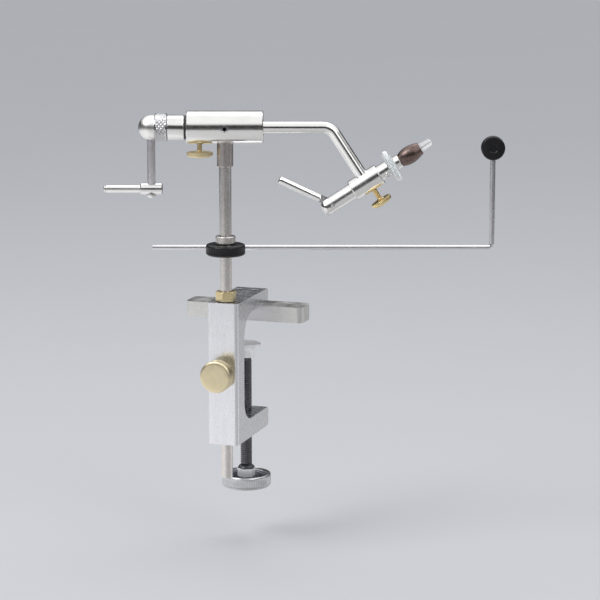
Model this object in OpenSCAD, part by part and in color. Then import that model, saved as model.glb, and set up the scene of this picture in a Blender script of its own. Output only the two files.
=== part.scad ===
// Rotary fly tying vise on a table clamp, with a bobbin cradle.
// Origin: centre of the crossbar's underside, which rests on the table's edge.
// +X to the right, +Y over the table, +Z up.

/* [Clamp] */
// Width of the clamp body
clamp_w = 25.4; // [20:0.1:34]
// Height of the clamp body
clamp_h = 114.6; // [100:0.1:140]
// From the stem's axis to the clamp's front face
clamp_front = 9; // [8:0.5:14]
// From the stem's axis to the throat
clamp_web = 7; // [6.5:0.5:12]
// Reach of the upper jaw behind the stem's axis
upper_reach = 66; // [65:0.5:80]
// Thickness of the upper jaw
upper_t = 12.1; // [10:0.1:20]
// Reach of the lower jaw behind the stem's axis
lower_reach = 66; // [60:0.5:80]
// Thickness of the lower jaw
lower_t = 15.7; // [10:0.1:22]
// Fillet of the throat's upper corner
upper_fillet = 20; // [4:0.5:24]
// Fillet of the throat's lower corner
lower_fillet = 16; // [4:0.5:18]
// Rounding of the column's front edges
column_round = 3; // [1:0.5:4]

/* [Crossbar] */
// Length of the crossbar
bar_l = 100; // [60:1:120]
// Depth of the crossbar, front to back
bar_d = 23; // [16:0.5:24]
// Height of the crossbar
bar_h = 12.7; // [11:0.1:18]
// How deep the crossbar is let into the upper jaw
bar_let_in = 2; // [1:0.5:4]
// From the stem's axis to the crossbar's front face
bar_setback = 41; // [34:0.5:42]
// Rounding of the crossbar's corners
bar_round = 5; // [1:0.5:8]
// Diameter of the crossbar screws
bar_screw_d = 4; // [3:0.5:5]

/* [Clamp screw] */
// Diameter of the clamp screw
screw_d = 9.525; // [8:0.005:12]
// From the stem's axis to the clamp screw's axis
screw_setback = 47; // [44:0.5:49]
// Opening between the crossbar and the pad
opening = 20; // [6:0.5:40]
// Diameter of the pad's face
pad_d = 24; // [18:0.5:28]
// Height of the pad
pad_h = 11.3; // [9:0.1:20]
// Diameter of the pad's neck
pad_neck_d = 13.6; // [12:0.2:16]
// From the lower jaw's underside to the nut on the knob
screw_out = 29.4; // [20:0.1:40]
// Diameter of the clamp knob
knob_d = 40; // [30:1:46]
// Thickness of the clamp knob
knob_t = 10.4; // [6:0.1:14]
// Depth of the dish in the clamp knob
knob_dish = 2.5; // [1:0.1:4]
// Width across the flats of the nut on the knob
nut_af = 13; // [11.5:0.1:16]
// Height of the nut on the knob
nut_h = 9.9; // [6:0.1:12]

/* [Stem] */
// Diameter of the stem
stem_d = 9.525; // [8:0.005:12]
// Length of stem below the clamp
stem_below = 28.6; // [5:0.1:34]
// Height of the head's axis over the table
head_z = 160.8; // [152:0.1:240]
// Diameter of the brass knob that locks the stem
lock_knob_d = 25.4; // [18:0.1:32]
// Thickness of the brass knob
lock_knob_t = 9; // [5:0.5:12]
// Height of the brass knob's axis under the table's top
lock_drop = 33.2; // [24:0.1:60]
// Diameter of the lock screw's thread
lock_screw_d = 8; // [6:0.5:8]
// Width across the flats of the brass collar
collar_af = 14.3; // [14:0.1:20]
// Height of the brass collar
collar_h = 7.6; // [5:0.1:12]
// Diameter of the sleeve under the head
sleeve_d = 12.7; // [12:0.1:16]
// Length of the sleeve that shows under the head
sleeve_h = 17.7; // [8:0.1:30]

/* [Head] */
// Turn of the head and the cradle about the stem
head_turn = 18; // [-30:1:45]
// Diameter of the head tube
head_d = 26; // [24:0.1:30]
// Length of the head tube
head_l = 59.8; // [56:0.1:66]
// Diameter of the shaft and of the bent arm
shaft_d = 9.525; // [8:0.005:10]
// Outside diameter of the bushes
bush_d = 16; // [14:0.1:18]
// Length of each bush
bush_l = 7; // [4:0.5:7.5]
// From the stem's axis back to the drag screw
drag_x = 19.8; // [17:0.1:20]
// Diameter of the drag screw's disc
drag_disc_d = 20.5; // [14:0.5:21]
// Thread diameter of both thumbscrews
thumb_d = 4; // [3:0.5:4]

/* [Crank] */
// Diameter of the shaft collar
shaft_collar_d = 19.5; // [17:0.1:24]
// Length of the shaft collar
shaft_collar_l = 13.4; // [8:0.1:18]
// Diameter of the knurled tension ring
ring_d = 21.8; // [19:0.1:25]
// Length of the tension ring
ring_l = 9.2; // [6:0.1:14]
// Diameter of the crank's hub
hub_d = 19.6; // [18:0.1:24]
// Diameter of the crank arm
crank_rod_d = 6.35; // [5:0.05:7]
// From the shaft's axis to the handle's axis
crank_throw = 48.3; // [36:0.1:60]
// Diameter of the cross barrel at the crank's end
cross_d = 9.1; // [9:0.1:12]
// Length of the cross barrel
cross_l = 17.1; // [17:0.1:24]
// Diameter of the handle
grip_d = 6.2; // [5.6:0.1:9]
// Length of the handle
grip_l = 27; // [16:0.5:40]

/* [Arm] */
// From the stem's axis to the arm's corner
arm_x = 82.4; // [70:0.1:100]
// From the arm's corner down to the jaw unit's axis
arm_drop = 51.6; // [44:0.1:60]
// Rise of the jaw unit's axis over the level
jaw_rise = 33; // [25:1:40]
// Radius of the bend
bend_r = 11; // [9:0.5:20]
// Diameter of the jaw unit's housing
housing_d = 17; // [16.6:0.1:20]
// Length of the housing
housing_l = 25; // [20:0.5:26]

/* [Jaw unit] */
// Diameter of the barrel
barrel_d = 12.7; // [12.5:0.05:13]
// From the arm's axis to the barrel's rear end
barrel_rear = 40.5; // [40:0.1:42]
// From the arm's axis to the barrel's front end
barrel_front = 21.2; // [21:0.1:25]
// Width of the clip's wheel
clip_w = 5.4; // [5.2:0.1:7]
// Diameter of the ring spring, outside
clip_d = 26.5; // [26:0.1:28]
// Diameter of the ring spring's coil
clip_coil_d = 5; // [4.8:0.05:5.1]
// Diameter of the ring spring's wire
clip_wire_d = 0.6; // [0.4:0.05:0.65]
// Diameter of the polished collar
nose_collar_d = 11.3; // [10:0.1:14]
// Length of the polished collar
nose_collar_l = 4.8; // [3:0.1:7]
// Length of the dark nose
nose_l = 18.2; // [17:0.1:20]
// Greatest diameter of the dark nose
nose_d = 14; // [12:0.1:16]
// Diameter of the nose's two ends
nose_end_d = 10; // [9.8:0.1:11]
// Length of jaw that shows
jaw_out = 10; // [7:0.1:14]
// Width of the jaws
jaw_w = 4.4; // [3.4:0.1:4.5]
// Height of the closed jaws at the nose
jaw_h = 6.4; // [6:0.1:6.6]
// Diameter of the cam lever's rod
lever_d = 6.3; // [5:0.1:7]
// From the lever's pin to its end
lever_l = 46.2; // [30:0.1:60]
// Angle from the jaw unit's axis to the lever
lever_lean = 122; // [120:1:130]
// Diameter of the jaw lock screw's disc
jaw_disc_d = 17; // [12:0.5:20]

/* [Cradle] */
// Height of the cradle rod over the table
cradle_z = 64.5; // [60:0.1:90]
// Diameter of the cradle rod
rod_d = 4.1; // [3:0.1:5]
// From the stem's axis to the cradle rod's far upright
cradle_reach = 210; // [195:1:240]
// From the stem's axis to the rod's free end
cradle_tail = 58; // [36:1:90]
// Height of the bobbin rest over the cradle rod
rest_rise = 79; // [40:1:90]
// Radius of the rod's corner
rod_bend = 3; // [2.6:0.1:10]
// Diameter of the black hub
cradle_hub_d = 31; // [29:0.5:40]
// Height of the black hub
cradle_hub_h = 8.8; // [8:0.1:14]
// Diameter of the bright collar
cradle_collar_d = 15.8; // [14.5:0.1:20]
// Height of the bright collar
cradle_collar_h = 6.3; // [5:0.1:10]
// Diameter of the bobbin rest
rest_d = 18.7; // [14:0.1:24]
// Thickness of the bobbin rest
rest_t = 8; // [6:0.1:12]

/* [Hidden] */
$fn = 48;

// Radial clearance of a shaft in its hole
running = 0.05;
// Clearance between faces that pass each other
pass = 0.15;
// How far a cut runs past what it cuts
over = 1;
// Small edge break on turned parts
edge = 0.6;
// Facets along a drawn arc
arc_steps = 8;
// Share of a set screw's hole that the screw fills
grub_share = 0.85;

// Heights of the clamp
upper_under = bar_h - bar_let_in;
clamp_top = upper_under + upper_t;
clamp_bottom = clamp_top - clamp_h;
lower_top = clamp_bottom + lower_t;
stem_y = -(bar_setback + bar_d / 2);
jaw_end_r = column_round;
bar_screw_x = clamp_w / 4;
bar_head_d = bar_screw_d * 2;
bar_thread = bar_h * 0.6;

// Clamp screw
pad_top = -opening;
pad_flange = pad_h / 6;
tip_d = screw_d * 0.72;
tip_h = pad_h * 0.6;
nut_top = clamp_bottom - screw_out;
dish_floor = nut_top - nut_h;
knob_top = dish_floor + knob_dish;
dish_share = 0.93;
dish_d = knob_d * dish_share;
dish_wall = knob_dish / 4;
nut_r = nut_af * 0.56;
nut_round = nut_h * 0.45;

// Stem, its collar and its lock
washer_t = 0.8;
stop_bottom = clamp_top + washer_t;
stop_top = stop_bottom + collar_h;
stop_screw_d = 3;
lock_z = -lock_drop;
lock_tip_t = lock_screw_d / 4;
lock_gap = 9;
bore_gap = 0.44;
head_bore = shaft_d + 2 * bore_gap;
stem_web = 1;
stem_top = head_z - head_bore / 2 - stem_web;
sleeve_bottom = head_z - head_d / 2 - sleeve_h;

// Head and its screws
retainer_d = 3;
retainer_head_d = retainer_d * 1.8;
groove_depth = 0.8;
groove_d = shaft_d - 2 * groove_depth;
groove_w = retainer_d + 2 * pass;
drag_tip_t = thumb_d / 2;
drag_reach = 6.2;
drag_disc_top = -(head_d / 2 + drag_reach);
thumb_rim = 2.2;
thumb_dome = 2.6;

// Crank, counted back from the head's rear end
end_play = 0.1;
thrust_t = 1.6;
thrust_front = -head_l / 2 - end_play;
shaft_collar_front = thrust_front - thrust_t;
ring_front = shaft_collar_front - shaft_collar_l - end_play;
hub_front = ring_front - ring_l - end_play;
crank_x = hub_front - crank_rod_d / 2 - pass;
shaft_rear = crank_x - crank_rod_d / 2 - edge;
crank_top = -shaft_d / 2 - end_play;
cross_seat = sqrt(pow(cross_d / 2, 2) - pow(crank_rod_d / 2 + running, 2));
end_screw_d = 4;
end_head_d = 7.8;
end_seat = sqrt(pow(cross_d / 2, 2) - pow(end_head_d / 2 + running, 2));
end_screw_depth = 8;
grip_pin_d = 3;
grip_pin_depth = 5;
grip_front = crank_x - cross_l / 2 - end_play;
grip_rear = grip_front - grip_l;
grip_cap_d = grip_d * 0.88;
grip_cap_t = 1.6;

// Arm and housing
bend_turn = 90 - jaw_rise;
bend_run = bend_r * tan(bend_turn / 2);
jaw_x = arm_x + arm_drop * sin(jaw_rise);
jaw_z = -arm_drop * cos(jaw_rise);
jaw_screw_u = 2;
jaw_tip_t = 1;
jaw_screw_reach = 8.7;
jaw_disc_top = -(housing_d / 2 + jaw_screw_reach);

// Lever, cam and push rod, along the jaw unit's axis
lever_pin_d = 3;
lever_t = 4;
pin_inset = 9;
rear_round = 4.5;
pin_u = -(barrel_rear - pin_inset);
cam_r = 3.35;
cam_offset = 2;
cam_phase = 30;
cam_reach = cam_r + cam_offset;
cam_gap = 0.15;
slot_w = lever_t + 2 * pass;
neck_l = 10.5;
neck_w = lever_d * 0.9;
push_d = 3;
push_rear = pin_u + cam_offset * cos(cam_phase) + cam_r + cam_gap;
push_collar_d = 7.4;
push_collar_l = 2;
push_travel = 1.2;
chamber_d = 8;
guide_l = 4;
chamber_rear = pin_u + cam_reach + guide_l;
push_collar_u = chamber_rear + push_travel + 3 * pass;
spigot_l = 10;

// Nose and jaws
neck_d = 8;
clip_u = barrel_front + end_play;
nose_collar_u = clip_u + clip_w + end_play;
nose_u = nose_collar_u + nose_collar_l + end_play;
nose_front = nose_u + nose_l;
jaw_tip_u = nose_front + jaw_out;
pivot_d = 2.5;
pivot_inset = 7;
pivot_u = nose_front - pivot_inset;
tail_l = 6.8;
tail_u = pivot_u - tail_l;
tail_in = pivot_d / 2 + running;
cone_lead = 0.6;
cone_base_u = tail_u - cone_lead;
cone_l = 2.9;
cone_tip_r = 0.3;
cavity_lead = 2;
cavity_u = tail_u - cavity_lead;
jaw_lift = 0.37;
cavity_h = jaw_h + 2 * (jaw_lift + pass);
slit = 0.6;
bulge_steps = 14;
bulge_share = 0.85;

// Screw in the barrel's neck
neck_screw_d = 3;
neck_screw_head_d = 5.2;
neck_screw_head_h = 1.5;
neck_screw_inset = 3.6;
neck_screw_u = barrel_front - neck_screw_inset;
neck_screw_turn = 123.4;

// Ring spring
clip_curls = 48;
clip_rings = 8;
clip_sides = 6;
coil_r = (clip_coil_d - clip_wire_d) / 2;
clip_r = (clip_d - clip_coil_d) / 2;
groove_r = clip_coil_d / 2 + running;
wheel_rim_w = clip_w * 0.66;
wheel_web_w = clip_w * 0.44;

// Cradle
insert_d = 11.5;
hub_wall = 1.4;
rod_back = insert_d / 2 + hub_wall + rod_d / 2;
hub_bottom = -cradle_hub_h / 2;
hub_top = cradle_hub_h / 2;
ring_recess_d = 14;
ring_recess_h = 1.2;
cradle_set_d = 3;
rest_hole = rest_d * 0.4;

// Helpers
function arc_points(cx, cy, r, a0, a1) =
  [for (i = [0:arc_steps]) let (a = a0 + (a1 - a0) * i / arc_steps) [cx + r * cos(a), cy + r * sin(a)]];

module rod_x(d, x0, x1) translate([x0, 0, 0]) rotate([0, 90, 0]) cylinder(d = d, h = x1 - x0);
module rod_y(d, y0, y1) translate([0, y1, 0]) rotate([90, 0, 0]) cylinder(d = d, h = y1 - y0);
module rod_z(d, z0, z1) translate([0, 0, z0]) cylinder(d = d, h = z1 - z0);

// A rod along Z with both ends broken
module broken_z(d, z0, z1, b) rotate_extrude()
  polygon([[0, z0], [d / 2 - b, z0], [d / 2, z0 + b], [d / 2, z1 - b], [d / 2 - b, z1], [0, z1]]);
module broken_x(d, x0, x1, b) rotate([0, 90, 0]) broken_z(d, x0, x1, b);

module in_post() translate([0, stem_y, 0]) children();
module in_head() translate([0, stem_y, head_z]) rotate([0, 0, head_turn]) children();
module in_jaw() in_head() translate([jaw_x, 0, jaw_z]) rotate([0, -jaw_rise, 0]) children();
module in_cradle() translate([0, stem_y, cradle_z]) rotate([0, 0, head_turn]) children();

// Clamp
function clamp_outline() = concat(
  [[-clamp_front, clamp_bottom]],
  arc_points(lower_reach - jaw_end_r, clamp_bottom + jaw_end_r, jaw_end_r, 270, 360),
  arc_points(lower_reach - jaw_end_r, lower_top - jaw_end_r, jaw_end_r, 0, 90),
  arc_points(clamp_web + lower_fillet, lower_top + lower_fillet, lower_fillet, 270, 180),
  arc_points(clamp_web + upper_fillet, upper_under - upper_fillet, upper_fillet, 180, 90),
  [[upper_reach, upper_under]],
  arc_points(upper_reach - jaw_end_r, clamp_top - jaw_end_r, jaw_end_r, 0, 90),
  [[-clamp_front, clamp_top]]);

// The column's front edges are rounded
module clamp_plan() let (back = max(upper_reach, lower_reach) + over)
  polygon(concat(
    arc_points(-clamp_w / 2 + column_round, -clamp_front + column_round, column_round, 180, 270),
    arc_points(clamp_w / 2 - column_round, -clamp_front + column_round, column_round, 270, 360),
    [[clamp_w / 2, back], [-clamp_w / 2, back]]));

module bar_screw_places() for (side = [-1, 1])
  translate([side * bar_screw_x, bar_setback + bar_d / 2, 0]) children();

module clamp_frame() color([0.82, 0.83, 0.85]) in_post() difference() {
  intersection() {
    translate([-clamp_w / 2, 0, 0]) rotate([90, 0, 90])
      linear_extrude(height = clamp_w) polygon(clamp_outline());
    translate([0, 0, clamp_bottom]) linear_extrude(height = clamp_h) clamp_plan();
  }
  rod_z(stem_d + 2 * running, clamp_bottom - over, clamp_top + over);
  translate([0, screw_setback, 0])
    rod_z(screw_d + 2 * running, clamp_bottom - over, lower_top + over);
  translate([-clamp_w / 2 - over, bar_setback - running, upper_under - over])
    cube([clamp_w + 2 * over, bar_d + 2 * running, bar_let_in + over]);
  bar_screw_places() {
    rod_z(bar_screw_d + 2 * running, upper_under, clamp_top + over);
    translate([0, 0, clamp_top - bar_screw_d / 2])
      cylinder(d1 = bar_screw_d, d2 = bar_head_d + bar_screw_d, h = bar_screw_d);
  }
  translate([0, 0, lock_z]) rod_y(lock_screw_d + 2 * running, -clamp_front - over, 0);
}

module crossbar() color([0.86, 0.86, 0.87]) in_post() difference() {
  translate([0, bar_setback + bar_d / 2, 0]) linear_extrude(height = bar_h)
    polygon(concat(
      arc_points(bar_l / 2 - bar_round, -bar_d / 2 + bar_round, bar_round, 270, 360),
      arc_points(bar_l / 2 - bar_round, bar_d / 2 - bar_round, bar_round, 0, 90),
      arc_points(-bar_l / 2 + bar_round, bar_d / 2 - bar_round, bar_round, 90, 180),
      arc_points(-bar_l / 2 + bar_round, -bar_d / 2 + bar_round, bar_round, 180, 270)));
  bar_screw_places() rod_z(bar_screw_d + 2 * running, bar_h - bar_thread, bar_h + over);
}

module crossbar_screws() color([0.35, 0.35, 0.36]) in_post() bar_screw_places() difference() {
  union() {
    rod_z(bar_screw_d, bar_h - bar_thread + over, clamp_top - bar_screw_d / 2);
    translate([0, 0, clamp_top - bar_screw_d / 2 - running])
      cylinder(d1 = bar_screw_d - 2 * running, d2 = bar_head_d - 2 * running, h = bar_screw_d / 2);
  }
  translate([0, 0, clamp_top - bar_screw_d / 2])
    cylinder(d = bar_screw_d * 0.6, h = bar_screw_d, $fn = 6);
}

module stop_washer() color([0.05, 0.05, 0.05]) in_post() difference() {
  rod_z(collar_af, clamp_top, stop_bottom);
  rod_z(stem_d + 4 * running, clamp_top - over, stop_bottom + over);
}

// Clamp screw, pad and knob
module clamp_pad() color([0.86, 0.86, 0.86]) in_post() translate([0, screw_setback, 0]) difference() {
  rotate_extrude() polygon(concat(
    [[0, pad_top], [pad_d / 2 - edge, pad_top], [pad_d / 2, pad_top - edge],
     [pad_d / 2, pad_top - pad_flange]],
    arc_points(pad_d / 2, pad_top - pad_flange - (pad_d - pad_neck_d) / 2,
               (pad_d - pad_neck_d) / 2, 90, 180),
    [[pad_neck_d / 2, pad_top - pad_h], [0, pad_top - pad_h]]));
  rod_z(tip_d + 2 * running, pad_top - pad_h - over, pad_top - pad_h + tip_h + end_play);
}

module clamp_screw() color([0.1, 0.1, 0.11]) in_post() translate([0, screw_setback, 0]) {
  broken_z(screw_d, knob_top - knob_t + edge, pad_top - pad_h - end_play, edge);
  broken_z(tip_d, pad_top - pad_h - over, pad_top - pad_h + tip_h, edge);
}

module clamp_knob() color([0.55, 0.56, 0.57]) in_post() translate([0, screw_setback, 0]) difference() {
  rotate_extrude() polygon(concat(
    [[0, knob_top - knob_t], [knob_d / 2 - 2 * edge, knob_top - knob_t],
     [knob_d / 2, knob_top - knob_t + 2 * edge]],
    arc_points(knob_d / 2 - 2 * edge, knob_top - 2 * edge, 2 * edge, 0, 90),
    [[dish_d / 2, knob_top], [dish_d / 2 - dish_wall, dish_floor], [0, dish_floor]]));
  rod_z(screw_d + 2 * running, knob_top - knob_t - over, knob_top + over);
}

module knob_nut() color([0.78, 0.79, 0.8]) in_post() translate([0, screw_setback, 0]) difference() {
  intersection() {
    rod_z_hex(nut_af, dish_floor, nut_top);
    rotate_extrude() polygon(concat([[0, dish_floor], [nut_r, dish_floor]],
      arc_points(nut_r - nut_round, nut_top - nut_round, nut_round, 0, 90),
      [[0, nut_top]]));
  }
  rod_z(screw_d + 2 * running, dish_floor - over, nut_top + over);
}

module rod_z_hex(af, z0, z1) translate([0, 0, z0]) rotate([0, 0, 30])
  cylinder(d = af / cos(30), h = z1 - z0, $fn = 6);

// Brass knob that locks the stem
module stem_lock_tip() color([0.9, 0.88, 0.8]) in_post() translate([0, 0, lock_z])
  rod_y(lock_screw_d - 2 * running, -stem_d / 2 - running - lock_tip_t, -stem_d / 2 - running);

module stem_lock_knob() color([0.8, 0.65, 0.32]) in_post() translate([0, 0, lock_z])
  rotate([90, 0, 0]) let (back = clamp_front + lock_gap, face = back + lock_knob_t) {
    rod_z(lock_screw_d, stem_d / 2 + 2 * running + lock_tip_t, back + over);
    rotate_extrude() polygon(concat(
      [[0, back], [lock_knob_d / 2 - edge, back], [lock_knob_d / 2, back + edge]],
      arc_points(lock_knob_d / 2 - 2 * edge, face - 3 * edge, 2 * edge, 0, 90),
      [[lock_knob_d / 4, face], [0, face]]));
  }

// Brass collar that sets the stem's height
module stem_stop_collar() color([0.78, 0.6, 0.22]) in_post() difference() {
  intersection() {
    rod_z_hex(collar_af, stop_bottom, stop_top);
    broken_z(collar_af / cos(30), stop_bottom, stop_top, edge);
  }
  rod_z(stem_d + 2 * running, stop_bottom - over, stop_top + over);
  translate([0, 0, (stop_bottom + stop_top) / 2]) rod_y(stop_screw_d, 0, collar_af);
}

module stop_collar_screw() color([0.15, 0.15, 0.16]) in_post()
  translate([0, 0, (stop_bottom + stop_top) / 2])
    grub_screw(stop_screw_d, stem_d / 2 + 2 * running, collar_af / 2);

// A grub screw along +Y from y0, with its socket in the far end
module grub_screw(d, y0, y1) let (y2 = y0 + (y1 - y0) * grub_share) difference() {
  rod_y(d - 2 * running, y0, y2);
  translate([0, y2 + over, 0]) rotate([90, 0, 0])
    cylinder(d = d / 2, h = over + (y2 - y0) / 2, $fn = 6);
}

// Stem and head
module stem() color([0.62, 0.6, 0.57]) in_post()
  broken_z(stem_d, clamp_bottom - stem_below, stem_top, edge);

module stem_sleeve() color([0.6, 0.59, 0.58]) in_head() difference() {
  broken_z(sleeve_d, sleeve_bottom - head_z, -head_d / 4, edge);
  rod_z(stem_d + 2 * running, sleeve_bottom - head_z - over, 0);
  rod_x(head_d + 2 * running, -head_l / 2, head_l / 2);
}

module head_tube() color([0.9, 0.9, 0.91]) in_head() difference() {
  broken_x(head_d, -head_l / 2, head_l / 2, edge);
  rod_x(head_bore, -head_l / 2 - over, head_l / 2 + over);
  rod_x(bush_d + 2 * running, -head_l / 2 - over, -head_l / 2 + bush_l);
  rod_x(bush_d + 2 * running, head_l / 2 - bush_l, head_l / 2 + over);
  rod_z(stem_d + 2 * running, -head_d, stem_top - head_z + running);
  rod_y(retainer_d + 2 * running, -head_d, 0);
  rod_y(retainer_head_d + 2 * running, -head_d, -head_d / 2 + retainer_d);
  drag_hole();
}

// On a short head this hole also runs through the rear bush
module drag_hole() translate([-drag_x, 0, 0]) rod_z(thumb_d + 2 * running, -head_d, 0);

module bush_at(x0) difference() {
  rod_x(bush_d, x0, x0 + bush_l);
  rod_x(shaft_d + 2 * running, x0 - over, x0 + bush_l + over);
}
module front_bush() color([0.7, 0.5, 0.25]) in_head() bush_at(head_l / 2 - bush_l);
module rear_bush() color([0.7, 0.5, 0.25]) in_head() difference() {
  bush_at(-head_l / 2);
  drag_hole();
}

// Its point runs in the shaft's groove and keeps the shaft from sliding out
module retaining_screw() color([0.7, 0.7, 0.71]) in_head() difference() {
  union() {
    rod_y(retainer_d, -head_d / 2 + retainer_d / 2, -groove_d / 2 - pass);
    rod_y(retainer_head_d, -head_d / 2 + edge, -head_d / 2 + retainer_d - running);
  }
  translate([0, -head_d / 2 + edge + retainer_d / 2, 0]) rotate([90, 0, 0])
    cylinder(d = retainer_d * 0.9, h = retainer_d, $fn = 6);
}

// A thumbscrew that points up +Z: shank from z1 down to a disc whose top is at z0
module thumbscrew(z1, z0, disc) {
  rod_z(thumb_d, z0 - over, z1);
  translate([0, 0, z0]) cylinder(d1 = thumb_d * 1.9, d2 = thumb_d, h = thumb_d * 0.4);
  rotate_extrude() polygon(concat(
    [[0, z0], [disc / 2 - edge, z0], [disc / 2, z0 - edge], [disc / 2, z0 - thumb_rim]],
    [for (i = [1:arc_steps]) let (a = 90 * i / arc_steps)
      [disc / 2 * cos(a), z0 - thumb_rim - thumb_dome * sin(a)]]));
}

module drag_tip() color([0.9, 0.88, 0.8]) in_head() translate([-drag_x, 0, 0])
  rod_z(thumb_d - 2 * running, -shaft_d / 2 - running - drag_tip_t, -shaft_d / 2 - running);
module drag_thumbscrew() color([0.8, 0.65, 0.32]) in_head() translate([-drag_x, 0, 0])
  thumbscrew(-shaft_d / 2 - 2 * running - drag_tip_t, drag_disc_top, drag_disc_d);

// Shaft and bent arm, one piece
module arm() color([0.88, 0.88, 0.89]) {
  in_head() difference() {
    union() {
      rod_x(shaft_d, shaft_rear, arm_x - bend_run);
      rod_x(shaft_d - edge, arm_x - bend_run - over, arm_x - bend_run + edge);
      translate([arm_x - bend_run, 0, -bend_r]) {
        rotate([90, 0, 0]) rotate([0, 0, jaw_rise])
          rotate_extrude(angle = bend_turn) translate([bend_r, 0]) circle(d = shaft_d);
        rotate([0, bend_turn, 0]) translate([0, 0, bend_r])
          rod_x(shaft_d, 0, arm_drop - bend_run);
      }
    }
    translate([jaw_x, 0, jaw_z]) rotate([0, -jaw_rise, 0])
      rod_x(housing_d + 2 * running, -housing_l, housing_l);
    rotate([0, 90, 0]) rotate_extrude() polygon([[groove_d / 2, -groove_w / 2],
      [shaft_d, -groove_w / 2], [shaft_d, groove_w / 2], [groove_d / 2, groove_w / 2]]);
  }
}

module thrust_washer() color([0.06, 0.06, 0.06]) in_head() difference() {
  rod_x(shaft_collar_d - edge, thrust_front - thrust_t, thrust_front);
  rod_x(shaft_d + 2 * running, thrust_front - thrust_t - over, thrust_front + over);
}

module shaft_collar() color([0.9, 0.9, 0.91]) in_head() difference() {
  broken_x(shaft_collar_d, shaft_collar_front - shaft_collar_l, shaft_collar_front, edge);
  rod_x(shaft_d + 2 * running, shaft_collar_front - shaft_collar_l - over, shaft_collar_front + over);
  translate([shaft_collar_front - shaft_collar_l / 2, 0, 0]) rod_y(thumb_d, 0, shaft_collar_d);
}
module shaft_collar_screw() color([0.15, 0.15, 0.16]) in_head()
  translate([shaft_collar_front - shaft_collar_l / 2, 0, 0])
    grub_screw(thumb_d, shaft_d / 2 + 2 * running, shaft_collar_d / 2);

module tension_ring() color([0.7, 0.7, 0.71]) in_head() difference() {
  broken_x(ring_d, ring_front - ring_l, ring_front, edge / 2);
  rod_x(shaft_d + 2 * running, ring_front - ring_l - over, ring_front + over);
}

// Crank
module crank_hub() color([0.88, 0.88, 0.89]) in_head() difference() {
  rotate([0, -90, 0]) rotate_extrude() polygon(concat(
    [[0, -hub_front], [hub_d / 2 - edge, -hub_front], [hub_d / 2, -hub_front + edge]],
    arc_points(0, -crank_x, hub_d / 2, 0, 90)));
  rod_x(shaft_d + 2 * running, shaft_rear - end_play, hub_front + over);
  translate([crank_x, 0, 0]) rod_z(crank_rod_d + 2 * running, -hub_d, 0);
}

module in_cross() in_head() translate([crank_x, 0, -crank_throw]) children();

module crank_arm() color([0.8, 0.8, 0.8]) in_cross() difference() {
  rod_z(crank_rod_d, cross_seat + end_play, crank_throw + crank_top);
  rod_z(end_screw_d + 2 * running, 0, cross_seat + end_screw_depth);
}

module crank_cross_hub() color([0.86, 0.86, 0.87]) in_cross() difference() {
  broken_x(cross_d, -cross_l / 2, cross_l / 2, edge);
  rod_z(crank_rod_d + 2 * running, cross_seat, cross_d);
  rod_z(end_head_d + 2 * running, -cross_d, -end_seat);
  rod_z(end_screw_d + 2 * running, -cross_d, cross_d);
  rod_x(grip_pin_d + 2 * running, -cross_l, -cross_l / 2 + grip_pin_depth);
}

module crank_end_screw() color([0.75, 0.75, 0.76]) in_cross() {
  rod_z(end_screw_d, -end_seat - end_play, cross_seat + end_screw_depth - end_play);
  rotate_extrude() polygon(concat(
    [[0, -end_seat - end_play], [end_head_d / 2, -end_seat - end_play]],
    [for (i = [0:arc_steps]) let (a = 90 * i / arc_steps)
      [end_head_d / 2 * cos(a), -end_seat - end_head_d / 3 - end_head_d / 3 * sin(a)]]));
}

module at_grip() in_head() translate([0, 0, -crank_throw]) children();
module grip_pin() color([0.8, 0.8, 0.8]) at_grip() {
  rod_x(grip_pin_d, grip_rear - over, grip_front + grip_pin_depth);
  broken_x(grip_cap_d, grip_rear - end_play - grip_cap_t, grip_rear - end_play, edge);
}
module crank_grip() color([0.84, 0.84, 0.85]) at_grip() difference() {
  broken_x(grip_d, grip_rear, grip_front, edge / 2);
  rod_x(grip_pin_d + 2 * running, grip_rear - over, grip_front + over);
}

// Housing at the arm's end and its thumbscrew
module jaw_housing() color([0.9, 0.9, 0.91]) in_jaw() difference() {
  broken_x(housing_d, -housing_l / 2, housing_l / 2, edge);
  rod_x(barrel_d + 2 * running, -housing_l, housing_l);
  translate([jaw_screw_u, 0, 0]) rod_z(thumb_d + 2 * running, -housing_d, 0);
}
module jaw_lock_tip() color([0.9, 0.88, 0.8]) in_jaw() translate([jaw_screw_u, 0, 0])
  rod_z(thumb_d - 2 * running, -barrel_d / 2 - running - jaw_tip_t, -barrel_d / 2 - running);
module jaw_lock_screw() color([0.8, 0.65, 0.32]) in_jaw() translate([jaw_screw_u, 0, 0])
  thumbscrew(-barrel_d / 2 - 2 * running - jaw_tip_t, jaw_disc_top, jaw_disc_d);

// Barrel: rounded rear end, slot for the lever's cam, chamber for the spring
module at_lever_pin() translate([pin_u, 0, 0]) children();

module jaw_barrel() color([0.9, 0.9, 0.91]) in_jaw() difference() {
  rotate([0, 90, 0]) rotate_extrude() polygon(concat(
    [[0, barrel_front], [barrel_d / 2 - edge, barrel_front], [barrel_d / 2, barrel_front - edge]],
    arc_points(barrel_d / 2 - rear_round, -barrel_rear + rear_round, rear_round, 360, 270),
    [[0, -barrel_rear]]));
  at_lever_pin() {
    rod_y(2 * (cam_reach + pass), -slot_w / 2, slot_w / 2);
    translate([-barrel_rear, -slot_w / 2, -neck_w / 2 - pass])
      cube([barrel_rear, slot_w, barrel_d]);
    rod_y(lever_pin_d + 2 * running, -barrel_d, barrel_d);
  }
  rod_x(push_d + 2 * running, pin_u, barrel_front);
  rod_x(chamber_d, chamber_rear, barrel_front + over);
  translate([neck_screw_u, 0, 0]) rotate([neck_screw_turn, 0, 0])
    rod_z(neck_screw_d + 2 * running, 0, barrel_d);
}

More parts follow.
